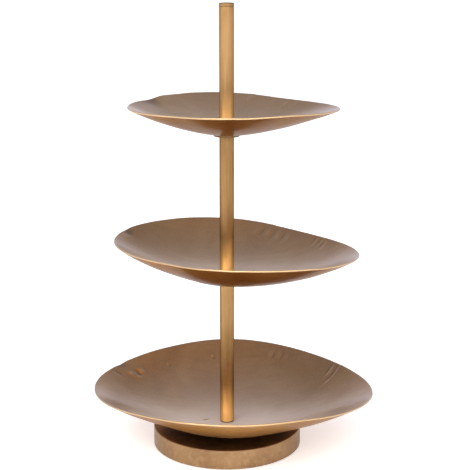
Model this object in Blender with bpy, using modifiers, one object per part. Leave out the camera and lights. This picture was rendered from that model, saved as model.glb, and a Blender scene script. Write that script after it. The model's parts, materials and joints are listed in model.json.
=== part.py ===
"""Tiered cake stand: three leaf-shaped metal dishes on a screwed-together tube, over a weighted drum base.

Each dish sits on a stud between two lengths of tube. Every tube unscrews from the stud below it, and a dish
turns on its stud once the tube above it is loose. Metres, +Z up; the origin is where the axis meets the table.
"""

import math
from collections import namedtuple

import bmesh
import bpy

# Clearances
GAP = 0.0003
STUD_HOLE_CLEARANCE = 0.0005

# Drum base
BASE_DIAMETER = 0.1685
BASE_HEIGHT = 0.0223
BASE_SHEET = 0.0012
BASE_EDGE_ROUND = 0.0012
BASE_FOOT_LIFT = 0.0006
FELT_THICKNESS = 0.0015
FELT_INSET = 0.0030
NUT_RECESS_DIAMETER = 0.0280
NUT_RECESS_DEPTH = 0.0115
BASE_WASHER_DIAMETER = 0.0240
BASE_WASHER_THICKNESS = 0.0015
NUT_ACROSS_FLATS = 0.0130
NUT_HEIGHT = 0.0065

# Pole
TUBE_DIAMETER = 0.0160
TUBE_WALL = 0.0010
LOWER_TUBE_LENGTH = 0.1670
MIDDLE_TUBE_LENGTH = 0.1570
UPPER_TUBE_LENGTH = 0.1342
PLUG_LENGTH = 0.0160
STUD_DIAMETER = 0.0080
STUD_REACH = 0.0130
CAP_THICKNESS = 0.0032
CAP_SPIGOT_LENGTH = 0.0100
CAP_EDGE_ROUND = 0.0004

# What clamps a dish
SUPPORT_DIAMETER = 0.0285
SUPPORT_THICKNESS = 0.0025
SPACER_THICKNESS = 0.0005
SPACER_EDGE_INSET = 0.0002

# Dishes
TRAY_THICKNESS = 0.0020
TRAY_SEAT_RADIUS = 0.0165

# How finely round things are cut
BASE_SIDES = 72
TUBE_SIDES = 32
STUD_SIDES = 20
TRAY_SPOKES = 72
TRAY_RINGS = 8
EDGE_STEPS = 4
SHARP_ANGLE = math.radians(35)
MERGE_DISTANCE = 0.00001
AXIS_DISPLAY_SIZE = 0.02
MOST_OF_SHEET = 0.9

# A dish's leaf outline is a circle with lobes, each (times round, share of the radius, degrees of its crest).
# Its rim rises and falls twice round, by wave_height, with a crest at wave_crest degrees. Its wall climbs
# from the flat seat to the rim as the distance to the power curl.
Dish = namedtuple("Dish", "radius depth curl lobes wave_height wave_crest")

BOTTOM_DISH = Dish(
    radius=0.1462,
    depth=0.0448,
    curl=1.95,
    lobes=((1, 0.061, 12), (2, 0.058, -9), (3, 0.017, 43), (4, 0.026, -6)),
    wave_height=0.0066,
    wave_crest=98,
)
MIDDLE_DISH = Dish(
    radius=0.1235,
    depth=0.0354,
    curl=2.10,
    lobes=((1, 0.087, 1), (2, 0.153, -37), (3, 0.017, 41), (4, 0.022, -18)),
    wave_height=0.0045,
    wave_crest=110,
)
TOP_DISH = Dish(
    radius=0.1009,
    depth=0.0284,
    curl=1.50,
    lobes=((1, 0.070, 0), (2, 0.106, -20), (4, 0.050, 0)),
    wave_height=0.0021,
    wave_crest=114,
)

# Sizes that follow
BASE_RADIUS = BASE_DIAMETER / 2
STUD_HOLE = STUD_DIAMETER / 2 + STUD_HOLE_CLEARANCE
THREAD_HOLE = STUD_DIAMETER / 2 + GAP
PLUG_RADIUS = TUBE_DIAMETER / 2 - TUBE_WALL - GAP
SPACER_RADIUS = TUBE_DIAMETER / 2 - SPACER_EDGE_INSET
BOARD_BOTTOM = FELT_THICKNESS + GAP
BOARD_TOP = BASE_HEIGHT - BASE_SHEET - GAP
RECESS_TOP = BOARD_BOTTOM + NUT_RECESS_DEPTH
LEVEL_STACK = TRAY_THICKNESS + SPACER_THICKNESS + 2 * GAP
SUPPORT_STACK = SUPPORT_THICKNESS + 2 * GAP


def clear_scene():
    for item in list(bpy.data.objects):
        bpy.data.objects.remove(item, do_unlink=True)


def new_collection(name):
    collection = bpy.data.collections.new(name)
    bpy.context.scene.collection.children.link(collection)
    return collection


def surface(name, colour, roughness, metallic):
    material = bpy.data.materials.new(name)
    material.use_nodes = True
    shader = material.node_tree.nodes["Principled BSDF"]
    shader.inputs["Base Color"].default_value = (*colour, 1)
    shader.inputs["Roughness"].default_value = roughness
    shader.inputs["Metallic"].default_value = metallic
    return material


def antique_gold(name):
    return surface(name, (0.50, 0.32, 0.14), 0.38, 1.0)


def zinc_plate(name):
    return surface(name, (0.62, 0.62, 0.60), 0.35, 1.0)


def fibreboard(name):
    return surface(name, (0.33, 0.22, 0.13), 0.85, 0.0)


def felt(name):
    return surface(name, (0.03, 0.03, 0.03), 0.95, 0.0)


def nylon(name):
    return surface(name, (0.05, 0.04, 0.03), 0.50, 0.0)


def add_part(name, mesh, material, parent, height):
    """The finished mesh as one named part, its lower face at a height above the table."""
    mesh.name = name
    mesh.materials.clear()
    mesh.materials.append(material)
    mesh.shade_smooth()
    mesh.set_sharp_from_angle(angle=SHARP_ANGLE)
    part = bpy.data.objects.new(name, mesh)
    PARTS.objects.link(part)
    part.parent = parent
    part.location = (0, 0, height - axis_height(parent))
    return part


def add_axis(name, parent, height):
    """An empty on the stand's axis, which carries the parts of one moving group."""
    empty = bpy.data.objects.new(name, None)
    PARTS.objects.link(empty)
    empty.empty_display_size = AXIS_DISPLAY_SIZE
    empty.parent = parent
    below = axis_height(parent) if parent else 0.0
    empty.location = (0, 0, height - below)
    return empty


def axis_height(empty):
    """How far above the table an axis empty is."""
    height = 0.0
    while empty is not None:
        height += empty.location.z
        empty = empty.parent
    return height


def evaluated_mesh(source):
    """The mesh that an object's modifiers make; the object goes."""
    graph = bpy.context.evaluated_depsgraph_get()
    mesh = bpy.data.meshes.new_from_object(source.evaluated_get(graph))
    bpy.data.objects.remove(source, do_unlink=True)
    return mesh


def scratch_object(name, mesh):
    item = bpy.data.objects.new(name, mesh)
    CUTTERS.objects.link(item)
    item.hide_render = True
    item.display_type = "WIRE"
    return item


def turned(profile, sides, closed=True):
    """A profile of (radius, height) points, down the outer side, turned about Z."""
    points = [(radius, 0, height) for radius, height in profile]
    edges = [(i, i + 1) for i in range(len(points) - 1)]
    if closed:
        edges.append((len(points) - 1, 0))
    mesh = bpy.data.meshes.new("profile")
    mesh.from_pydata(points, edges, [])
    item = scratch_object("profile", mesh)
    screw = item.modifiers.new("turn", "SCREW")
    screw.axis = "Z"
    screw.angle = math.tau
    screw.steps = sides
    screw.render_steps = sides
    screw.use_merge_vertices = True
    screw.merge_threshold = MERGE_DISTANCE
    return evaluated_mesh(item)


def ring(outer, inner, height, sides):
    """A plain round ring or tube, standing on its lower face."""
    return turned([(inner, height), (outer, height), (outer, 0), (inner, 0)], sides)


def rounded_corner(radius, height, fillet):
    """Points round an outer top corner, from the top face to the side."""
    points = []
    for step in range(EDGE_STEPS + 1):
        angle = math.pi / 2 * (1 - step / EDGE_STEPS)
        across = radius - fillet + fillet * math.cos(angle)
        up = height - fillet + fillet * math.sin(angle)
        points.append((across, up))
    return points


def drum_mesh():
    """The pressed steel drum: a closed top with a stud hole, a side wall and an open underside."""
    height = BASE_HEIGHT - BASE_FOOT_LIFT
    inner = BASE_RADIUS - BASE_SHEET
    under = height - BASE_SHEET
    fillet = min(BASE_EDGE_ROUND, MOST_OF_SHEET * BASE_SHEET)
    profile = [(STUD_HOLE, height)]
    profile += rounded_corner(BASE_RADIUS, height, fillet)
    profile += [(BASE_RADIUS, 0), (inner, 0), (inner, under), (STUD_HOLE, under)]
    return turned(profile, BASE_SIDES)


def board_mesh():
    """The fibreboard disc that weights the drum, with the nut's recess in its underside."""
    height = BOARD_TOP - BOARD_BOTTOM
    outer = BASE_RADIUS - BASE_SHEET - GAP
    recess = NUT_RECESS_DIAMETER / 2
    profile = [(STUD_HOLE, height), (outer, height), (outer, 0), (recess, 0)]
    profile += [(recess, NUT_RECESS_DEPTH), (STUD_HOLE, NUT_RECESS_DEPTH)]
    return turned(profile, BASE_SIDES)


def disc_mesh(radius, height, sides):
    """A flat disc, standing on its lower face."""
    shape = bmesh.new()
    bmesh.ops.create_cone(
        shape, cap_ends=True, segments=sides, radius1=radius, radius2=radius, depth=height
    )
    bmesh.ops.translate(shape, verts=shape.verts, vec=(0, 0, height / 2))
    mesh = bpy.data.meshes.new("disc")
    shape.to_mesh(mesh)
    shape.free()
    return mesh


def nut_mesh():
    """A hexagon nut, bored for the stud."""
    corner = NUT_ACROSS_FLATS / 2 / math.cos(math.pi / 6)
    nut = scratch_object("nut_blank", disc_mesh(corner, NUT_HEIGHT, 6))
    bore = scratch_object("nut_bore", disc_mesh(THREAD_HOLE, 2 * NUT_HEIGHT, STUD_SIDES))
    bore.location = (0, 0, -NUT_HEIGHT / 2)
    cut = nut.modifiers.new("bore", "BOOLEAN")
    cut.operation = "DIFFERENCE"
    cut.object = bore
    bpy.context.view_layer.update()
    mesh = evaluated_mesh(nut)
    bpy.data.objects.remove(bore, do_unlink=True)
    return mesh


def cap_mesh():
    """The solid end cap: a disc as wide as the tube on a spigot that plugs it."""
    rim = TUBE_DIAMETER / 2
    top = CAP_SPIGOT_LENGTH + CAP_THICKNESS
    profile = [(0, top)]
    profile += rounded_corner(rim, top, CAP_EDGE_ROUND)
    profile += [(rim, CAP_SPIGOT_LENGTH), (PLUG_RADIUS, CAP_SPIGOT_LENGTH), (PLUG_RADIUS, 0), (0, 0)]
    return turned(profile, TUBE_SIDES, closed=False)


def outline_radius(dish, angle):
    """How far the leaf outline is from the axis."""
    share = 1.0
    for times, amount, crest in dish.lobes:
        share += amount * math.cos(times * (angle - math.radians(crest)))
    return dish.radius * share


def rim_height(dish, angle):
    """How high the rim is above the seat."""
    return dish.depth + dish.wave_height * math.cos(2 * (angle - math.radians(dish.wave_crest)))


def dish_mesh(dish):
    """A flat ring spun about the axis, pushed out to the leaf outline, dished and given its thickness."""
    shape = bmesh.new()
    row = [shape.verts.new((STUD_HOLE, 0, 0)), shape.verts.new((TRAY_SEAT_RADIUS, 0, 0))]
    for step in range(1, TRAY_RINGS + 1):
        row.append(shape.verts.new((TRAY_SEAT_RADIUS + step / TRAY_RINGS, 0, 0)))
    edges = [shape.edges.new(pair) for pair in zip(row, row[1:])]
    bmesh.ops.spin(
        shape,
        geom=row + edges,
        axis=(0, 0, 1),
        cent=(0, 0, 0),
        angle=math.tau,
        steps=TRAY_SPOKES,
        use_merge=True,
    )
    for vertex in shape.verts:
        across = math.hypot(vertex.co.x, vertex.co.y)
        share = max(0.0, across - TRAY_SEAT_RADIUS)
        if share > 0:
            angle = math.atan2(vertex.co.y, vertex.co.x)
            out = TRAY_SEAT_RADIUS + (outline_radius(dish, angle) - TRAY_SEAT_RADIUS) * share
            up = rim_height(dish, angle) * share**dish.curl
            vertex.co = (out * math.cos(angle), out * math.sin(angle), up)
    bmesh.ops.recalc_face_normals(shape, faces=shape.faces)
    if shape.faces[0].normal.z < 0:
        bmesh.ops.reverse_faces(shape, faces=shape.faces)
    bmesh.ops.translate(shape, verts=shape.verts, vec=(0, 0, TRAY_THICKNESS))
    mesh = bpy.data.meshes.new("dish")
    shape.to_mesh(mesh)
    shape.free()
    item = scratch_object("dish", mesh)
    shell = item.modifiers.new("shell", "SOLIDIFY")
    shell.thickness = TRAY_THICKNESS
    shell.offset = -1
    shell.use_even_offset = True
    return evaluated_mesh(item)


def build_base():
    """The drum, its board and felt, and the stud that holds the pole."""
    base = add_axis("base_axis", None, 0.0)
    drum = drum_mesh()
    add_part("base_drum", drum, antique_gold("drum_gold"), base, BASE_FOOT_LIFT)
    add_part("base_board", board_mesh(), fibreboard("board_fibre"), base, BOARD_BOTTOM)
    felt_disc = disc_mesh(BASE_RADIUS - FELT_INSET, FELT_THICKNESS, BASE_SIDES)
    add_part("base_felt", felt_disc, felt("felt_black"), base, 0.0)
    washer = ring(BASE_WASHER_DIAMETER / 2, STUD_HOLE, BASE_WASHER_THICKNESS, TUBE_SIDES)
    washer_bottom = RECESS_TOP - GAP - BASE_WASHER_THICKNESS
    add_part("base_washer", washer, zinc_plate("washer_zinc"), base, washer_bottom)
    nut_bottom = washer_bottom - GAP - NUT_HEIGHT
    add_part("base_nut", nut_mesh(), zinc_plate("nut_zinc"), base, nut_bottom)
    stud_top = BASE_HEIGHT + GAP + LEVEL_STACK + GAP + STUD_REACH
    stud = disc_mesh(STUD_DIAMETER / 2, stud_top - nut_bottom, STUD_SIDES)
    add_part("base_stud", stud, zinc_plate("base_stud_zinc"), base, nut_bottom)
    return base


def add_dish(name, dish, below, underside):
    """A dish on the axis empty of its own, and the height that the tube's spacer starts from."""
    pivot = add_axis(name + "_axis", below, underside)
    add_part(name, dish_mesh(dish), antique_gold(name + "_gold"), pivot, underside)
    return underside + TRAY_THICKNESS


def add_tube(prefix, length, below, dish_top):
    """A tube with its spacer and foot plug on an axis empty of its own; returns that and its top."""
    spacer_bottom = dish_top + GAP
    foot = spacer_bottom + SPACER_THICKNESS + GAP
    pivot = add_axis(prefix + "_axis", below, foot)
    spacer = ring(SPACER_RADIUS, STUD_HOLE, SPACER_THICKNESS, TUBE_SIDES)
    add_part(prefix + "_spacer", spacer, nylon(prefix + "_spacer_nylon"), pivot, spacer_bottom)
    tube = ring(TUBE_DIAMETER / 2, TUBE_DIAMETER / 2 - TUBE_WALL, length, TUBE_SIDES)
    add_part(prefix + "_tube", tube, antique_gold(prefix + "_tube_gold"), pivot, foot)
    plug = ring(PLUG_RADIUS, THREAD_HOLE, PLUG_LENGTH, TUBE_SIDES)
    add_part(prefix + "_foot_plug", plug, zinc_plate(prefix + "_foot_zinc"), pivot, foot + GAP)
    return pivot, foot + length


def add_tube_head(prefix, next_prefix, pivot, tube_top):
    """The head plug, stud and support washer that carry the next dish; returns that dish's underside."""
    plug_bottom = tube_top - GAP - PLUG_LENGTH
    plug = ring(PLUG_RADIUS, THREAD_HOLE, PLUG_LENGTH, TUBE_SIDES)
    add_part(prefix + "_head_plug", plug, zinc_plate(prefix + "_head_zinc"), pivot, plug_bottom)
    support = ring(SUPPORT_DIAMETER / 2, STUD_HOLE, SUPPORT_THICKNESS, TUBE_SIDES)
    support_gold = antique_gold(next_prefix + "_support_gold")
    add_part(next_prefix + "_support", support, support_gold, pivot, tube_top + GAP)
    underside = tube_top + SUPPORT_STACK
    stud_top = underside + LEVEL_STACK + GAP + STUD_REACH
    stud = disc_mesh(STUD_DIAMETER / 2, stud_top - plug_bottom, STUD_SIDES)
    add_part(next_prefix + "_stud", stud, zinc_plate(next_prefix + "_stud_zinc"), pivot, plug_bottom)
    return underside


def build_stand():
    base = build_base()
    dish_top = add_dish("bottom_tray", BOTTOM_DISH, base, BASE_HEIGHT + GAP)
    lower, lower_top = add_tube("lower", LOWER_TUBE_LENGTH, base, dish_top)
    underside = add_tube_head("lower", "middle", lower, lower_top)
    dish_top = add_dish("middle_tray", MIDDLE_DISH, lower, underside)
    middle, middle_top = add_tube("middle", MIDDLE_TUBE_LENGTH, lower, dish_top)
    underside = add_tube_head("middle", "top", middle, middle_top)
    dish_top = add_dish("top_tray", TOP_DISH, middle, underside)
    upper, upper_top = add_tube("upper", UPPER_TUBE_LENGTH, middle, dish_top)
    cap_bottom = upper_top + GAP - CAP_SPIGOT_LENGTH
    add_part("top_cap", cap_mesh(), antique_gold("cap_gold"), upper, cap_bottom)


clear_scene()
PARTS = new_collection("tiered_cake_stand")
CUTTERS = new_collection("cutters")
build_stand()
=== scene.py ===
"""The tiered cake stand's looks: three formed leaf-shaped dishes in satin antique-gold paint on a tube pole
over a round drum base, on a pale floor in soft studio light. Metres, +Z up, in the CAD frame."""

import json
import math
from collections import namedtuple

import bpy
import numpy as np
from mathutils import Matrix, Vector, noise


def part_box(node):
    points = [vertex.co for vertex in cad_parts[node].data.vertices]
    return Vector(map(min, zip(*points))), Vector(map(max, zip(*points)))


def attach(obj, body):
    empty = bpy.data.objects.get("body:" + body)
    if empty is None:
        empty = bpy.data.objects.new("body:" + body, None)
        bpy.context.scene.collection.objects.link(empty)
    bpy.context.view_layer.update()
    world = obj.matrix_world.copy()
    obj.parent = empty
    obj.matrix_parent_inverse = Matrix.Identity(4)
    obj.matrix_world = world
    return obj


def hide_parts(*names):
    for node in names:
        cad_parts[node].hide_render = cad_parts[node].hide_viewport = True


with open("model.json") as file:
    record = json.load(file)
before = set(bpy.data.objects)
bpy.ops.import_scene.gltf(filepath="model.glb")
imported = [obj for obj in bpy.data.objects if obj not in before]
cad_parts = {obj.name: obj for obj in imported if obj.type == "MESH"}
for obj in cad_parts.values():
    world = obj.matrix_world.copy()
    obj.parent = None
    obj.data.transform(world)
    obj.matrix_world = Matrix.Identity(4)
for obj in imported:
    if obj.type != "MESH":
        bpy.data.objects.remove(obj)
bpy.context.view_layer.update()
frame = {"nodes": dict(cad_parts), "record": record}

# Camera and stage
CAMERA_DISTANCE = 1.4293
CAMERA_HEIGHT = 0.59565
CAMERA_TILT = math.radians(13.8)
CAMERA_TURN = math.radians(0.364)
LENS_MM = 101.2
SENSOR_MM = 36.0
CLIP_END = 60
FLOOR_HALF = 12.0
FLOOR_DROP = 0.0002
FLOOR_GLOW = (0.45, 0.66)
FLOOR_GLOW_REACH = (0.3, 2.4)
SKY_HORIZON = (1.00, 0.98, 1.12)
SKY_TOP = (0.30, 0.29, 0.31)
SKY_BLEND = (0.18, 0.75)
LIGHT_COLOUR = (1.0, 0.98, 0.95)
LIGHT_TARGET = (0, 0, 0.25)
Softbox = namedtuple("Softbox", "name place width height power")
SOFTBOXES = (
    Softbox("left_softbox", (-1.05, -0.95, 1.70), 1.5, 1.2, 28),
    Softbox("right_softbox", (1.05, -0.95, 1.70), 1.5, 1.2, 13),
    Softbox("front_softbox", (0, -1.60, 1.45), 1.6, 0.8, 16),
)

# Sizes that repeat the CAD's
TRAY_THICKNESS = 0.0020
SEAT_RADIUS = 0.0165
STUD_HOLE_RADIUS = 0.0045
TUBE_WALL = 0.0010
DRUM_WALL = 0.0012
CAP_GAP = 0.0003
CENTRE_HOLE = 0.0004

# Softened edges
TUBE_EDGE_ROUND = 0.0003
WASHER_EDGE_ROUND = 0.0004
SPACER_EDGE_ROUND = 0.00015
CAP_TOP_ROUND = 0.0005
CAP_SEAM_ROUND = 0.0003
DRUM_TOP_ROUND = 0.0012
DRUM_FOOT_ROUND = 0.0004
SHARP_ANGLE = math.radians(40)

# Slow unevenness: how much, and how often in a metre
TUBE_UNEVENNESS = 0.00006
DRUM_UNEVENNESS = 0.00012
SLOW_DENTS = (0.0007, 16)
QUICK_DENTS = (0.00022, 55)

# How finely the pieces are cut
SPOKES = 480
WALL_RINGS = 96
RIM_CROWDING = 0.9
SEAT_RINGS = 4
EDGE_ARC_STEPS = 6
LIP_FLATNESS = 0.95
# Gain of the painted highlight along each dish's lip
LIP_HIGHLIGHT_GAIN = 1.5
# Relief at which the painted highlight and shade on the marks are full
FULL_SHADE_RELIEF = 0.0014
MARK_FADE = 0.6
TUBE_SIDES = 96
BASE_SIDES = 192
TUBE_ROWS = 24

# A dish climbs to its depth as a power, curl, of the way out. Each lobe of its outline is a wave: how many
# times it goes round, its share of the radius and the angle of its crest. The rim waves up and down twice.
Dish = namedtuple(
    "Dish", "node body radius depth curl lobes wave_height wave_crest marks seed haze under_tint"
)
# A mark is a ridge (or, below zero, a groove) in the formed sheet: its angle round the dish, its share of the
# way out, the heading it runs along, and its length, width and height. Angles are in degrees.
Mark = namedtuple("Mark", "angle share heading length width height")

BOTTOM_MARKS = (
    Mark(150.3, 0.885, -18, 0.0065, 0.0019, 0.0014),
    Mark(148.0, 0.825, 12, 0.0065, 0.0019, 0.0014),
    Mark(146.2, 0.865, -24, 0.0080, 0.0020, -0.0017),
    Mark(143.2, 0.865, -22, 0.0070, 0.0018, 0.0013),
    Mark(155.5, 0.945, -10, 0.0080, 0.0018, -0.0010),
    Mark(149.5, 1.03, 62, 0.012, 0.0075, -0.0013),
    Mark(127.0, 0.85, 20, 0.0030, 0.0020, 0.0009),
    Mark(126.2, 0.83, 10, 0.0035, 0.0018, -0.0007),
    Mark(99.0, 0.85, 0, 0.0035, 0.0018, 0.0009),
    Mark(98.0, 0.83, 0, 0.0040, 0.0016, -0.0008),
    Mark(26.0, 0.88, 48, 0.021, 0.0016, 0.0013),
    Mark(27.5, 0.89, 48, 0.019, 0.0014, -0.0016),
    Mark(30.0, 0.915, 52, 0.015, 0.0016, 0.0011),
    Mark(31.5, 0.92, 52, 0.015, 0.0014, -0.0012),
    Mark(66.5, 0.90, 64, 0.010, 0.0022, 0.0008),
    Mark(64.3, 0.90, 64, 0.010, 0.0018, -0.0008),
    Mark(62.0, 0.91, 60, 0.010, 0.0022, 0.0008),
    Mark(59.8, 0.90, 60, 0.009, 0.0018, -0.0008),
    Mark(57.5, 0.91, 58, 0.009, 0.0022, 0.0007),
    Mark(53.0, 0.92, 54, 0.008, 0.0020, 0.0005),
    Mark(178.0, 0.06, 40, 0.008, 0.0018, -0.0010),
)
MIDDLE_MARKS = (
    Mark(70, 0.88, 50, 0.010, 0.0020, 0.0006),
    Mark(66, 0.90, 52, 0.012, 0.0020, -0.0006),
    Mark(62, 0.90, 55, 0.015, 0.0020, 0.0008),
    Mark(58, 0.89, 55, 0.015, 0.0018, -0.0007),
    Mark(54, 0.88, 55, 0.016, 0.0020, 0.0009),
    Mark(50, 0.88, 52, 0.013, 0.0018, -0.0007),
    Mark(46, 0.88, 52, 0.012, 0.0020, 0.0007),
    Mark(27, 0.93, 50, 0.009, 0.0015, -0.0008),
    Mark(23, 0.93, 52, 0.010, 0.0015, -0.0009),
    Mark(19, 0.91, 50, 0.008, 0.0015, -0.0008),
    Mark(150, 0.97, 60, 0.012, 0.0050, -0.0011),
)
TOP_MARKS = (
    Mark(150, 0.97, 62, 0.020, 0.0110, -0.0014),
    Mark(138, 0.98, 50, 0.016, 0.0090, 0.0007),
    Mark(72, 0.92, 60, 0.012, 0.0040, 0.0007),
    Mark(40, 0.90, 50, 0.012, 0.0022, 0.0005),
    Mark(33, 0.91, 52, 0.010, 0.0020, 0.0004),
)

# Each dish's underside tint makes that underside warmer and brighter by its own amount: painted light
DISHES = (
    Dish(
        node="bottom_tray", body="bottom_dish", radius=0.1462, depth=0.0448, curl=1.95,
        lobes=((1, 0.061, 12), (2, 0.058, -9), (3, 0.017, 43), (4, 0.026, -6)),
        wave_height=0.0066, wave_crest=98, marks=BOTTOM_MARKS, seed=3,
        haze=0.90, under_tint=(1.28, 1.20, 1.08),
    ),
    Dish(
        node="middle_tray", body="middle_dish", radius=0.1235, depth=0.0354, curl=2.10,
        lobes=((1, 0.087, 1), (2, 0.153, -37), (3, 0.017, 41), (4, 0.022, -18)),
        wave_height=0.0045, wave_crest=110, marks=MIDDLE_MARKS, seed=17,
        haze=0.55, under_tint=(1.20, 0.96, 0.62),
    ),
    Dish(
        node="top_tray", body="top_dish", radius=0.1009, depth=0.0284, curl=1.50,
        lobes=((1, 0.070, 0), (2, 0.106, -20), (4, 0.050, 0)),
        wave_height=0.0021, wave_crest=114, marks=TOP_MARKS, seed=29,
        haze=0.48, under_tint=(1.12, 0.96, 0.74),
    ),
)


# ---------------------------------------------------------------- shapes

def new_object(name, vertices, faces, material):
    mesh = bpy.data.meshes.new(name)
    mesh.from_pydata(vertices, [], faces)
    mesh.materials.append(material)
    mesh.shade_smooth()
    item = bpy.data.objects.new(name, mesh)
    bpy.context.scene.collection.objects.link(item)
    return item


def grid_faces(rows, columns, close_rows):
    """Quads of a grid whose columns close into a ring, and whose rows do too if asked."""
    faces = []
    for i in range(rows if close_rows else rows - 1):
        below = (i + 1) % rows
        for j in range(columns):
            beside = (j + 1) % columns
            upper, lower = i * columns, below * columns
            faces.append((upper + j, upper + beside, lower + beside, lower + j))
    return faces


def turned_piece(name, profile, sides, material, seed=0, unevenness=0.0):
    """A closed profile of (radius, height) points, running down the outer side, turned about Z."""
    vertices = []
    for radius, height in profile:
        for j in range(sides):
            angle = math.tau * j / sides
            shift = 0.0
            if unevenness:
                spot = Vector((30 * math.cos(angle), 30 * math.sin(angle), 900 * height + seed))
                shift = unevenness * noise.noise(0.15 * spot)
            out = radius + shift
            vertices.append((out * math.cos(angle), out * math.sin(angle), height))
    faces = grid_faces(len(profile), sides, True)
    item = new_object(name, vertices, [tuple(reversed(face)) for face in faces], material)
    item.data.set_sharp_from_angle(angle=SHARP_ANGLE)
    return item


def arc(centre_radius, centre_height, fillet, start, end, steps):
    """Points round a fillet, from one angle to another, in degrees from straight out."""
    points = []
    for step in range(steps + 1):
        angle = math.radians(start + (end - start) * step / steps)
        points.append((centre_radius + fillet * math.cos(angle), centre_height + fillet * math.sin(angle)))
    return points


def between(first, last, count):
    """Points along a straight stretch of a profile, without its ends."""
    points = []
    for step in range(1, count):
        share = step / count
        points.append((first[0] + (last[0] - first[0]) * share, first[1] + (last[1] - first[1]) * share))
    return points


def ring_profile(outer, inner, bottom, top, fillet, rows=1):
    """A ring or tube with rounded outer edges and plain inner ones."""
    upper = arc(outer - fillet, top - fillet, fillet, 90, 0, 4)
    lower = arc(outer - fillet, bottom + fillet, fillet, 0, -90, 4)
    return [(inner, top)] + upper + between(upper[-1], lower[0], rows) + lower + [(inner, bottom)]


def outline_radius(dish, angles):
    share = np.ones_like(angles)
    for times, amount, crest in dish.lobes:
        share += amount * np.cos(times * (angles - math.radians(crest)))
    return dish.radius * share


def rim_height(dish, angles):
    return dish.depth + dish.wave_height * np.cos(2 * (angles - math.radians(dish.wave_crest)))


def mark_relief(dish, x, y):
    """How far the marks raise the sheet at each point."""
    total = np.zeros_like(x)
    for mark in dish.marks:
        angle = math.radians(mark.angle)
        reach = SEAT_RADIUS + (float(outline_radius(dish, np.array([angle]))[0]) - SEAT_RADIUS) * mark.share
        across = x - reach * math.cos(angle)
        along = y - reach * math.sin(angle)
        heading = math.radians(mark.heading)
        u = across * math.cos(heading) + along * math.sin(heading)
        v = -across * math.sin(heading) + along * math.cos(heading)
        total += mark.height * np.exp(-((u / (MARK_FADE * mark.length)) ** 2) - (v / mark.width) ** 2)
    return total


def hand_relief(dish, x, y, share):
    """The slow unevenness of a sheet formed by hand."""
    relief = np.zeros_like(x)
    flat = relief.ravel()
    for index, (px, py, s) in enumerate(zip(x.ravel(), y.ravel(), share.ravel())):
        spot = Vector((px, py, dish.seed * 0.01))
        slow = noise.noise(SLOW_DENTS[1] * spot) * SLOW_DENTS[0]
        quick = noise.noise(QUICK_DENTS[1] * spot) * QUICK_DENTS[0]
        flat[index] = (slow + quick) * min(1.0, 1.6 * s)
    return flat.reshape(x.shape)


def dish_surface(dish, shares):
    """Points of the inner surface at each share of the way out and each spoke."""
    angles = np.linspace(0, math.tau, SPOKES, endpoint=False)
    share, angle = np.meshgrid(shares, angles, indexing="ij")
    climb = np.clip(share, 0, None)
    out = SEAT_RADIUS + (outline_radius(dish, angle) - SEAT_RADIUS) * climb
    seat = share < 0
    out[seat] = SEAT_RADIUS + (SEAT_RADIUS - STUD_HOLE_RADIUS) * share[seat]
    x = out * np.cos(angle)
    y = out * np.sin(angle)
    z = rim_height(dish, angle) * climb**dish.curl
    z = z + (mark_relief(dish, x, y) + hand_relief(dish, x, y, climb)) * (climb > 0)
    return np.stack([x, y, z], axis=-1)


def surface_normals(points):
    """Upward unit normals of the surface grid."""
    outward = np.gradient(points, axis=0)
    around = np.roll(points, -1, axis=1) - np.roll(points, 1, axis=1)
    normals = np.cross(outward, around)
    return normals / np.linalg.norm(normals, axis=-1, keepdims=True)


def build_dish(dish, inside, outside):
    """The formed sheet: its inner face, a rounded lip and its underside, as one closed skin."""
    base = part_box(dish.node)[0].z + TRAY_THICKNESS
    seat_shares = np.linspace(-1, 0, SEAT_RINGS + 1)[:-1]
    wall_shares = np.linspace(0, 1, WALL_RINGS + 1) ** RIM_CROWDING
    inner = dish_surface(dish, np.concatenate([seat_shares, wall_shares]))
    normals = surface_normals(inner)
    inner[..., 2] += base
    under = inner - normals * TRAY_THICKNESS
    rim, rim_normal = inner[-1], normals[-1]
    outward = inner[-1] - inner[-2]
    outward /= np.linalg.norm(outward, axis=-1, keepdims=True)
    centre = rim - rim_normal * TRAY_THICKNESS / 2
    lip = []
    for step in range(1, EDGE_ARC_STEPS):
        turn = math.pi / 2 - math.pi * step / EDGE_ARC_STEPS
        bulge = LIP_FLATNESS * outward * math.cos(turn) + rim_normal * math.sin(turn)
        lip.append(centre + bulge * TRAY_THICKNESS / 2)
    rows = list(inner) + lip + list(under[::-1])
    grid = np.array(rows)
    vertices = [tuple(point) for point in grid.reshape(-1, 3)]
    faces = grid_faces(len(rows), SPOKES, True)
    piece = new_object(dish.node + "_sheet", vertices, [tuple(reversed(f)) for f in faces], inside)
    piece.data.materials.append(outside)
    first_under = (len(inner) + len(lip)) * SPOKES
    slots = [0] * first_under + [1] * (len(faces) - first_under)
    piece.data.polygons.foreach_set("material_index", slots)
    # Painted highlight along the lip
    add_lip_highlight(piece, len(inner), len(lip))
    # Painted highlight and shade on the marks
    add_mark_light_and_shade(piece, mark_relief(dish, inner[..., 0], inner[..., 1]))
    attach(piece, dish.body)
    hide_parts(dish.node)


def add_lip_highlight(piece, inner_rows, lip_rows):
    """Marks the lip, where a painted highlight brightens the rounded edge, for the material to read."""
    lip_highlight = np.zeros(len(piece.data.vertices), dtype=np.float32)
    middle = inner_rows + (lip_rows - 1) / 2
    for row in range(inner_rows + 1, inner_rows + lip_rows + 1):
        amount = min(1.0, LIP_HIGHLIGHT_GAIN * max(0.0, 1 - abs(row - middle) / (lip_rows / 2 + 1)))
        lip_highlight[row * SPOKES : (row + 1) * SPOKES] = amount
    attribute = piece.data.attributes.new("lip_highlight", "FLOAT", "POINT")
    attribute.data.foreach_set("value", lip_highlight)


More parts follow.
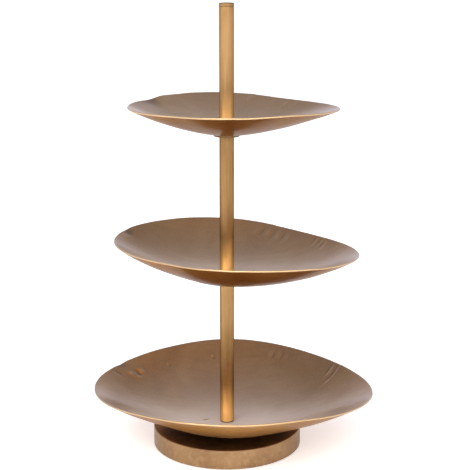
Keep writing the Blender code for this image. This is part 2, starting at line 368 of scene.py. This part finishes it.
def add_mark_light_and_shade(piece, relief):
    """Tells the material where to paint ridges paler, a painted highlight, and grooves darker, painted shade.
    """
    tone = np.zeros(len(piece.data.vertices), dtype=np.float32)
    tone[: relief.size] = np.clip(relief.ravel() / FULL_SHADE_RELIEF, -1, 1)
    attribute = piece.data.attributes.new("mark", "FLOAT", "POINT")
    attribute.data.foreach_set("value", tone)


# ---------------------------------------------------------------- materials

class Nodes:
    """A material's node tree, with short calls for the nodes that the finishes share."""

    def __init__(self, name):
        self.material = bpy.data.materials.new(name)
        self.material.use_nodes = True
        self.tree = self.material.node_tree
        self.shader = self.tree.nodes["Principled BSDF"]
        coordinates = self.tree.nodes.new("ShaderNodeTexCoord")
        self.place = coordinates.outputs["Object"]

    def set(self, **values):
        for name, value in values.items():
            self.shader.inputs[name.replace("_", " ")].default_value = value

    def link(self, output, socket):
        self.tree.links.new(output, self.shader.inputs[socket])

    def stretched(self, scale):
        """The object's coordinates, stretched along an axis."""
        node = self.tree.nodes.new("ShaderNodeMapping")
        node.inputs["Scale"].default_value = scale
        self.tree.links.new(self.place, node.inputs["Vector"])
        return node.outputs["Vector"]

    def distance_out(self):
        """Distance from the stand's axis."""
        flat = self.tree.nodes.new("ShaderNodeVectorMath")
        flat.operation = "MULTIPLY"
        flat.inputs[1].default_value = (1, 1, 0)
        self.tree.links.new(self.place, flat.inputs[0])
        distance = self.tree.nodes.new("ShaderNodeVectorMath")
        distance.operation = "LENGTH"
        self.tree.links.new(flat.outputs["Vector"], distance.inputs[0])
        return distance.outputs["Value"]

    def height(self):
        parts = self.tree.nodes.new("ShaderNodeSeparateXYZ")
        self.tree.links.new(self.place, parts.inputs["Vector"])
        return parts.outputs["Z"]

    def noise(self, scale, detail=3.0, roughness=0.55, vector=None, distortion=0.0):
        node = self.tree.nodes.new("ShaderNodeTexNoise")
        node.inputs["Scale"].default_value = scale
        node.inputs["Detail"].default_value = detail
        node.inputs["Roughness"].default_value = roughness
        node.inputs["Distortion"].default_value = distortion
        self.tree.links.new(vector or self.place, node.inputs["Vector"])
        return node.outputs["Fac"]

    def spread(self, value, low, high, to_low, to_high):
        node = self.tree.nodes.new("ShaderNodeMapRange")
        node.inputs["From Min"].default_value = low
        node.inputs["From Max"].default_value = high
        node.inputs["To Min"].default_value = to_low
        node.inputs["To Max"].default_value = to_high
        self.tree.links.new(value, node.inputs["Value"])
        return node.outputs["Result"]

    def mix(self, amount, first, second):
        """Two colours mixed by an amount; each is a colour or another node's output."""
        node = self.tree.nodes.new("ShaderNodeMix")
        node.data_type = "RGBA"
        self.tree.links.new(amount, node.inputs["Factor"])
        for socket, value in ((node.inputs[6], first), (node.inputs[7], second)):
            if isinstance(value, tuple):
                socket.default_value = (*value, 1)
            else:
                self.tree.links.new(value, socket)
        return node.outputs[2]

    def math(self, operation, first, second):
        node = self.tree.nodes.new("ShaderNodeMath")
        node.operation = operation
        for socket, value in ((node.inputs[0], first), (node.inputs[1], second)):
            if isinstance(value, (int, float)):
                socket.default_value = value
            else:
                self.tree.links.new(value, socket)
        return node.outputs[0]

    def tinted(self, colour, tint):
        """A colour multiplied by a fixed tint."""
        node = self.tree.nodes.new("ShaderNodeMix")
        node.data_type = "RGBA"
        node.blend_type = "MULTIPLY"
        node.inputs["Factor"].default_value = 1.0
        node.inputs[7].default_value = (*tint, 1)
        self.tree.links.new(colour, node.inputs[6])
        return node.outputs[2]

    def attribute(self, name):
        node = self.tree.nodes.new("ShaderNodeAttribute")
        node.attribute_name = name
        return node.outputs["Fac"]

    def bump(self, *layers):
        """Bumps stacked from (height, strength, distance) layers."""
        normal = None
        for height, strength, distance in layers:
            node = self.tree.nodes.new("ShaderNodeBump")
            node.inputs["Strength"].default_value = strength
            node.inputs["Distance"].default_value = distance
            self.tree.links.new(height, node.inputs["Height"])
            if normal:
                self.tree.links.new(normal, node.inputs["Normal"])
            normal = node.outputs["Normal"]
        self.tree.links.new(normal, self.shader.inputs["Normal"])


# The paint's tones, and what each piece multiplies them by; the tints of the tubes, the drum and the dish
# undersides are painted light and shade, lit and shaded copies of one paint
GOLD = (0.45, 0.270, 0.115)
GOLD_DEEP = (0.34, 0.190, 0.075)
GOLD_RED = (0.37, 0.190, 0.085)
GOLD_BRIGHT = (0.62, 0.42, 0.20)
# Painted highlight along each dish's lip
GOLD_LIP_HIGHLIGHT = (0.66, 0.44, 0.20)
# Painted highlight on the marks' ridges and painted shade in their grooves
GOLD_RIDGE_HIGHLIGHT = (0.70, 0.52, 0.34)
GOLD_GROOVE_SHADE = (0.13, 0.065, 0.025)
# Painted reflection above each tube's foot: its colour, and the heights over the foot where it fades
GOLD_FOOT_REFLECTION = (0.98, 0.66, 0.27)
FOOT_REFLECTION_HEIGHT = (0.012, 0.045)
INSIDE_TINT = (1.02, 1.01, 0.97)
# Painted shade on the middle tube, darker under the top dish, and painted light on the upper tube, brighter
# than the lower
TUBE_LIGHT_AND_SHADE_TINTS = {
    "lower_tube": (0.92, 0.92, 0.88),
    "middle_tube": (0.78, 0.75, 0.68),
    "upper_tube": (1.08, 1.06, 1.02),
}
TRIM_TINT = (0.92, 0.92, 0.88)
WASHER_TINT = (0.42, 0.40, 0.42)
# Painted shade: the whole drum is darkened
DRUM_SHADE_TINT = (0.73, 0.73, 0.76)

# The haze that wiping leaves inside a dish: its colour, and where it thins out towards the rim
HAZE_TINT = (1.0, 0.90, 0.84, 1)
HAZE_REACH = (0.045, 0.125)
HAZE_LEFT_AT_RIM = 0.10

# What a glancing view of the metal is tinted by
EDGE_TINT = (0.30, 0.27, 0.25, 1)
TUBE_EDGE_TINT = (0.08, 0.07, 0.06, 1)


def sheet_tone(nodes, offset, tint, roughness):
    """Cloudy antique tone, fine metallic grain and faint rolling smears, shared by both faces of a dish, with
    a painted highlight along the lip and painted highlight and shade on the marks.
    """
    shifted = nodes.tree.nodes.new("ShaderNodeMapping")
    shifted.inputs["Location"].default_value = (offset, -offset, 0)
    nodes.tree.links.new(nodes.place, shifted.inputs["Vector"])
    nodes.place = shifted.outputs["Vector"]
    cloud = nodes.noise(11, 5, 0.6, distortion=0.8)
    hue = nodes.noise(23, 3, 0.5)
    grain = nodes.noise(850, 3, 0.65)
    smear = nodes.noise(70, 5, 0.65, vector=nodes.stretched((0.35, 1.6, 1)))
    tone = nodes.mix(nodes.spread(cloud, 0.36, 0.64, 0, 1), GOLD_DEEP, GOLD)
    tone = nodes.mix(nodes.spread(hue, 0.45, 0.70, 0, 0.55), tone, GOLD_RED)
    tone = nodes.mix(nodes.spread(smear, 0.48, 0.72, 0, 0.55), tone, GOLD_DEEP)
    tone = nodes.mix(nodes.spread(grain, 0.48, 0.72, 0, 0.40), tone, GOLD_BRIGHT)
    tone = nodes.tinted(tone, tint)
    # Painted highlight: the lip is painted brighter gold
    tone = nodes.mix(nodes.spread(nodes.attribute("lip_highlight"), 0, 1, 0, 0.9), tone, GOLD_LIP_HIGHLIGHT)
    # Painted highlight on the marks' ridges and painted shade in their grooves
    mark = nodes.attribute("mark")
    tone = nodes.mix(nodes.spread(mark, 0.15, 1, 0, 0.45), tone, GOLD_RIDGE_HIGHLIGHT)
    tone = nodes.mix(nodes.spread(mark, -0.1, -0.8, 0, 0.70), tone, GOLD_GROOVE_SHADE)
    nodes.link(tone, "Base Color")
    nodes.link(nodes.spread(smear, 0.3, 0.7, *roughness), "Roughness")
    nodes.bump((grain, 0.30, 0.00012), (smear, 0.25, 0.0005))


def sheet_gold(name, offset, haze):
    """Satin paint inside a dish, under a clear coat that wiping has hazed."""
    nodes = Nodes(name)
    nodes.set(Metallic=0.92, Specular_Tint=EDGE_TINT, Coat_Weight=1.0, Coat_Roughness=0.20, Coat_IOR=1.65)
    nodes.set(Sheen_Roughness=0.62, Sheen_Tint=HAZE_TINT)
    nodes.link(nodes.spread(nodes.distance_out(), *HAZE_REACH, haze, HAZE_LEFT_AT_RIM * haze), "Sheen Weight")
    sheet_tone(nodes, offset, INSIDE_TINT, (0.36, 0.46))
    return nodes.material


def underside_gold(name, offset, tint):
    """The same paint under a dish, barely coated, made warmer and brighter by the dish's own tint: painted
    light.
    """
    nodes = Nodes(name)
    nodes.set(Metallic=0.97, Specular_Tint=EDGE_TINT, Coat_Weight=0.24, Coat_Roughness=0.18, Coat_IOR=1.35)
    sheet_tone(nodes, offset, tint, (0.30, 0.40))
    return nodes.material


def tube_gold(name, offset, tint=TRIM_TINT, foot=None):
    """The same paint on drawn tube: lines along it and a fine grain, with a painted reflection above its foot
    if given.
    """
    nodes = Nodes(name)
    nodes.set(Metallic=0.97, Specular_Tint=TUBE_EDGE_TINT)
    drawn = nodes.noise(500, 3, 0.6, vector=nodes.stretched((1, 1, 0.03)))
    cloud = nodes.noise(30 + offset, 3, 0.5, vector=nodes.stretched((1, 1, 0.4)))
    grain = nodes.noise(1100, 3, 0.6)
    tone = nodes.mix(nodes.spread(cloud, 0.35, 0.65, 0, 1), GOLD_DEEP, GOLD)
    tone = nodes.mix(nodes.spread(drawn, 0.45, 0.7, 0, 0.30), tone, GOLD_BRIGHT)
    tone = nodes.mix(nodes.spread(grain, 0.5, 0.75, 0, 0.25), tone, GOLD_BRIGHT)
    tone = nodes.tinted(tone, tint)
    # Painted reflection: the tube is painted brighter gold just above its foot, standing in for the light the
    # dish below throws onto it
    if foot is not None:
        foot_reflection = nodes.spread(nodes.height(), foot + FOOT_REFLECTION_HEIGHT[0], foot + FOOT_REFLECTION_HEIGHT[1], 0.85, 0)
        tone = nodes.mix(foot_reflection, tone, GOLD_FOOT_REFLECTION)
    nodes.link(tone, "Base Color")
    nodes.link(nodes.spread(grain, 0.3, 0.7, 0.36, 0.46), "Roughness")
    nodes.bump((drawn, 0.15, 0.0001), (grain, 0.25, 0.0001))
    return nodes.material


def drum_gold(name):
    """The same paint on the drum: a mottled, slightly rolled-on coat with a fine grain."""
    nodes = Nodes(name)
    nodes.set(Metallic=0.95, Specular_Tint=EDGE_TINT, Coat_Weight=0.8, Coat_Roughness=0.3, Coat_IOR=1.4)
    lines = nodes.noise(330, 4, 0.6, vector=nodes.stretched((0.30, 0.30, 1.3)))
    mottle = nodes.noise(140, 5, 0.65)
    cloud = nodes.noise(24, 3, 0.5)
    grain = nodes.noise(1000, 3, 0.6)
    tone = nodes.mix(nodes.spread(cloud, 0.35, 0.65, 0, 1), GOLD_DEEP, GOLD)
    tone = nodes.mix(nodes.spread(lines, 0.50, 0.75, 0, 0.45), tone, GOLD_DEEP)
    tone = nodes.mix(nodes.spread(mottle, 0.46, 0.72, 0, 0.60), tone, GOLD_BRIGHT)
    # Painted shade: the drum's tint darkens it as a whole
    nodes.link(nodes.tinted(tone, DRUM_SHADE_TINT), "Base Color")
    nodes.link(nodes.spread(mottle, 0.3, 0.7, 0.36, 0.50), "Roughness")
    nodes.bump((lines, 0.12, 0.0002), (mottle, 0.15, 0.0003), (grain, 0.30, 0.0001))
    return nodes.material


def zinc(name):
    """Zinc plate: bluish-grey crystals and soft roughness."""
    nodes = Nodes(name)
    nodes.set(Metallic=1.0)
    crystal = nodes.noise(700, 3, 0.6)
    nodes.link(nodes.mix(crystal, (0.42, 0.44, 0.46), (0.68, 0.69, 0.68)), "Base Color")
    nodes.link(nodes.spread(crystal, 0.3, 0.7, 0.25, 0.42), "Roughness")
    nodes.bump((crystal, 0.15, 0.0001))
    return nodes.material


def fibreboard(name):
    """Raw fibreboard: short brown fibres."""
    nodes = Nodes(name)
    fibre = nodes.noise(420, 5, 0.7, vector=nodes.stretched((1, 0.5, 2.5)))
    nodes.link(nodes.mix(fibre, (0.20, 0.12, 0.06), (0.45, 0.32, 0.20)), "Base Color")
    nodes.link(nodes.spread(fibre, 0.3, 0.7, 0.75, 0.95), "Roughness")
    nodes.bump((fibre, 0.4, 0.0003))
    return nodes.material


def felt(name):
    """Dark felt: matted fibres with a soft sheen."""
    nodes = Nodes(name)
    nodes.set(Sheen_Weight=0.4, Sheen_Roughness=0.6)
    fibre = nodes.noise(1500, 5, 0.75, distortion=1.5)
    nodes.link(nodes.mix(fibre, (0.012, 0.012, 0.013), (0.07, 0.07, 0.07)), "Base Color")
    nodes.link(nodes.spread(fibre, 0.3, 0.7, 0.85, 1.0), "Roughness")
    nodes.bump((fibre, 0.6, 0.0004))
    return nodes.material


def nylon(name):
    """Dark moulded nylon."""
    nodes = Nodes(name)
    grain = nodes.noise(1200, 3, 0.6)
    nodes.link(nodes.mix(grain, (0.020, 0.016, 0.012), (0.05, 0.04, 0.03)), "Base Color")
    nodes.link(nodes.spread(grain, 0.3, 0.7, 0.4, 0.6), "Roughness")
    nodes.bump((grain, 0.2, 0.0001))
    return nodes.material


def floor_white(name):
    """Pale studio floor, lit softly from beneath as a light table is, with a trace of unevenness."""
    nodes = Nodes(name)
    nodes.set(Emission_Color=(1.0, 1.0, 1.0, 1))
    distance = nodes.tree.nodes.new("ShaderNodeVectorMath")
    distance.operation = "LENGTH"
    nodes.tree.links.new(nodes.place, distance.inputs[0])
    glow = nodes.spread(distance.outputs["Value"], *FLOOR_GLOW_REACH, *FLOOR_GLOW)
    nodes.link(glow, "Emission Strength")
    patch = nodes.noise(1.5, 3, 0.5)
    nodes.link(nodes.mix(patch, (0.88, 0.88, 0.89), (0.92, 0.92, 0.925)), "Base Color")
    nodes.link(nodes.spread(patch, 0.3, 0.7, 0.6, 0.75), "Roughness")
    return nodes.material


# ---------------------------------------------------------------- pieces

def replace_turned(node, body, profile, sides, material, seed=0, unevenness=0.0):
    piece = turned_piece(node + "_turned", profile, sides, material, seed, unevenness)
    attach(piece, body)
    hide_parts(node)
    return piece


def build_pole():
    """The tubes, support washers, spacers and cap, finer than the CAD's."""
    levels = ("lower", "middle", "upper")
    for index, level in enumerate(levels):
        tube, body = level + "_tube", level + "_pole"
        low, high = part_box(tube)
        profile = ring_profile(high.x, high.x - TUBE_WALL, low.z, high.z, TUBE_EDGE_ROUND, TUBE_ROWS)
        paint = tube_gold(tube + "_gold", index, TUBE_LIGHT_AND_SHADE_TINTS[tube], low.z)
        piece = replace_turned(tube, body, profile, TUBE_SIDES, paint, index, TUBE_UNEVENNESS)
    for node, body in (("middle_support", "lower_pole"), ("top_support", "middle_pole")):
        low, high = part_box(node)
        profile = ring_profile(high.x, STUD_HOLE_RADIUS, low.z, high.z, WASHER_EDGE_ROUND)
        piece = replace_turned(node, body, profile, TUBE_SIDES, tube_gold(node + "_gold", 5, WASHER_TINT))
    for level in levels:
        node, body = level + "_spacer", level + "_screw"
        low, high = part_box(node)
        profile = ring_profile(high.x, STUD_HOLE_RADIUS, low.z, high.z, SPACER_EDGE_ROUND)
        piece = replace_turned(node, body, profile, TUBE_SIDES, nylon(node + "_nylon"))
    build_cap()


def build_cap():
    """The end cap: a flat disc with a softened edge and a spigot down the tube."""
    low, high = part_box("top_cap")
    rim = high.x
    spigot = rim - TUBE_WALL - CAP_GAP
    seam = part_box("upper_tube")[1].z + CAP_GAP
    profile = [(CENTRE_HOLE, high.z), (rim / 2, high.z)]
    profile += arc(rim - CAP_TOP_ROUND, high.z - CAP_TOP_ROUND, CAP_TOP_ROUND, 90, 0, 5)
    profile += arc(rim - CAP_SEAM_ROUND, seam + CAP_SEAM_ROUND, CAP_SEAM_ROUND, 0, -90, 4)
    profile += [(spigot, seam), (spigot, low.z), (CENTRE_HOLE, low.z)]
    piece = replace_turned("top_cap", "upper_pole", profile, TUBE_SIDES, tube_gold("top_cap_gold", 8))


def build_drum():
    """The drum: pressed sheet with a crisp softened edge, slightly uneven under its paint."""
    low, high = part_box("base_drum")
    outer = high.x
    inner = outer - DRUM_WALL
    under = high.z - DRUM_WALL
    shoulder = high.z - DRUM_TOP_ROUND
    profile = [(STUD_HOLE_RADIUS, high.z)]
    profile += between((STUD_HOLE_RADIUS, high.z), (outer - DRUM_TOP_ROUND, high.z), 16)
    profile += arc(outer - DRUM_TOP_ROUND, shoulder, DRUM_TOP_ROUND, 90, 0, 6)
    profile += between((outer, shoulder), (outer, low.z), 12)
    profile += arc(outer - DRUM_FOOT_ROUND, low.z + DRUM_FOOT_ROUND, DRUM_FOOT_ROUND, 0, -90, 3)
    profile += [(inner, low.z), (inner, under), (STUD_HOLE_RADIUS, under)]
    paint = drum_gold("base_drum_gold")
    piece = replace_turned("base_drum", "base", profile, BASE_SIDES, paint, 7, DRUM_UNEVENNESS)


def finish_hidden_parts():
    """Better finishes for the CAD parts that stay: fasteners, plugs, board and felt."""
    finishes = {"zinc_plate": zinc, "fibreboard": fibreboard, "felt": felt}
    slots = {row["node"]: row["material_slot"] for row in frame["record"]["subparts"]}
    for node, item in frame["nodes"].items():
        if item.hide_render:
            continue
        finish = finishes[slots[node]](node + "_finish")
        item.data.materials.clear()
        item.data.materials.append(finish)


# ---------------------------------------------------------------- stage

def build_floor():
    corners = [(x * FLOOR_HALF, y * FLOOR_HALF, -FLOOR_DROP) for x, y in ((-1, -1), (1, -1), (1, 1), (-1, 1))]
    floor = new_object("floor", corners, [(0, 1, 2, 3)], floor_white("floor_white"))


def add_light(box):
    light = bpy.data.lights.new(box.name, "AREA")
    light.shape = "RECTANGLE"
    light.size = box.width
    light.size_y = box.height
    light.energy = box.power
    light.color = LIGHT_COLOUR
    item = bpy.data.objects.new(box.name, light)
    item.location = box.place
    item.rotation_euler = (Vector(LIGHT_TARGET) - Vector(box.place)).to_track_quat("-Z", "Y").to_euler()
    bpy.context.scene.collection.objects.link(item)


def build_sky():
    """Soft surroundings: pale at the horizon, dim overhead."""
    world = bpy.data.worlds.new("studio")
    bpy.context.scene.world = world
    world.use_nodes = True
    tree = world.node_tree
    direction = tree.nodes.new("ShaderNodeTexCoord")
    parts = tree.nodes.new("ShaderNodeSeparateXYZ")
    height = tree.nodes.new("ShaderNodeMapRange")
    height.interpolation_type = "SMOOTHSTEP"
    height.inputs["From Min"].default_value = SKY_BLEND[0]
    height.inputs["From Max"].default_value = SKY_BLEND[1]
    blend = tree.nodes.new("ShaderNodeMix")
    blend.data_type = "RGBA"
    blend.inputs[6].default_value = (*SKY_HORIZON, 1)
    blend.inputs[7].default_value = (*SKY_TOP, 1)
    tree.links.new(direction.outputs["Generated"], parts.inputs["Vector"])
    tree.links.new(parts.outputs["Z"], height.inputs["Value"])
    tree.links.new(height.outputs["Result"], blend.inputs["Factor"])
    tree.links.new(blend.outputs[2], tree.nodes["Background"].inputs["Color"])


def build_light():
    build_sky()
    for box in SOFTBOXES:
        add_light(box)


def build_camera():
    data = bpy.data.cameras.new("camera")
    data.lens = LENS_MM
    data.sensor_width = SENSOR_MM
    data.clip_end = CLIP_END
    camera = bpy.data.objects.new("camera", data)
    camera.location = (0, -CAMERA_DISTANCE, CAMERA_HEIGHT)
    camera.rotation_euler = (math.pi / 2 - CAMERA_TILT, 0, -CAMERA_TURN)
    bpy.context.scene.collection.objects.link(camera)
    bpy.context.scene.camera = camera


build_camera()
build_floor()
build_light()
for number, dish in enumerate(DISHES):
    inside = sheet_gold(dish.node + "_inside_gold", 0.3 * number, dish.haze)
    outside = underside_gold(dish.node + "_underside_gold", 0.3 * number, dish.under_tint)
    build_dish(dish, inside, outside)
build_pole()
build_drum()
finish_hidden_parts()
bpy.context.scene.view_settings.view_transform = "Standard"
